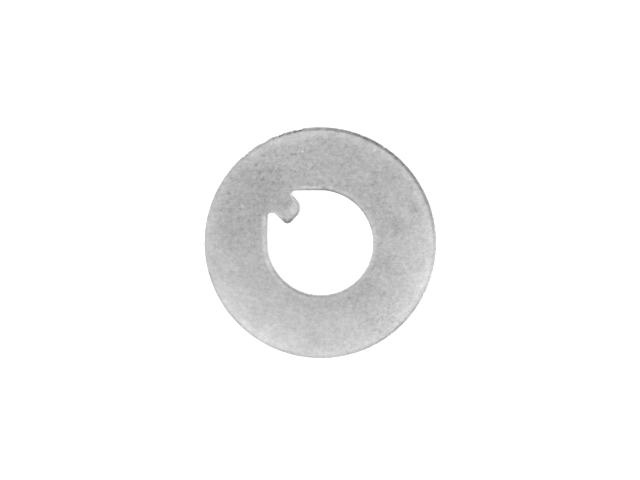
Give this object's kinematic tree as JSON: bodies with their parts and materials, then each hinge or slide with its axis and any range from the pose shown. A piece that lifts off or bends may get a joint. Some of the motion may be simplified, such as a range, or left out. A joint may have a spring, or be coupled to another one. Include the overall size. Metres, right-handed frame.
{
  "type": "spindle nut washer",
  "caption": "Flat round steel washer whose bore has two tangent flats and an inward tab, which slides along the keyway of a threaded spindle and keeps the washer from turning under the nut.",
  "frame": {"origin": "on the axis of the bore, at the underside that the washer rests on", "axes": "+Z along the bore's axis, out of the face with the rolled edges; +X and +Y in the plane of the washer, with the tab pointing to the axis from the corner between -X and +Y"},
  "size_m": [0.043, 0.043, 0.003],
  "materials": {
    "satin_steel": "satin grey, tumbled, with a fine mottled grain"
  },
  "bodies": {
    "root": {"tab_washer": "satin_steel"}
  },
  "joints": []
}
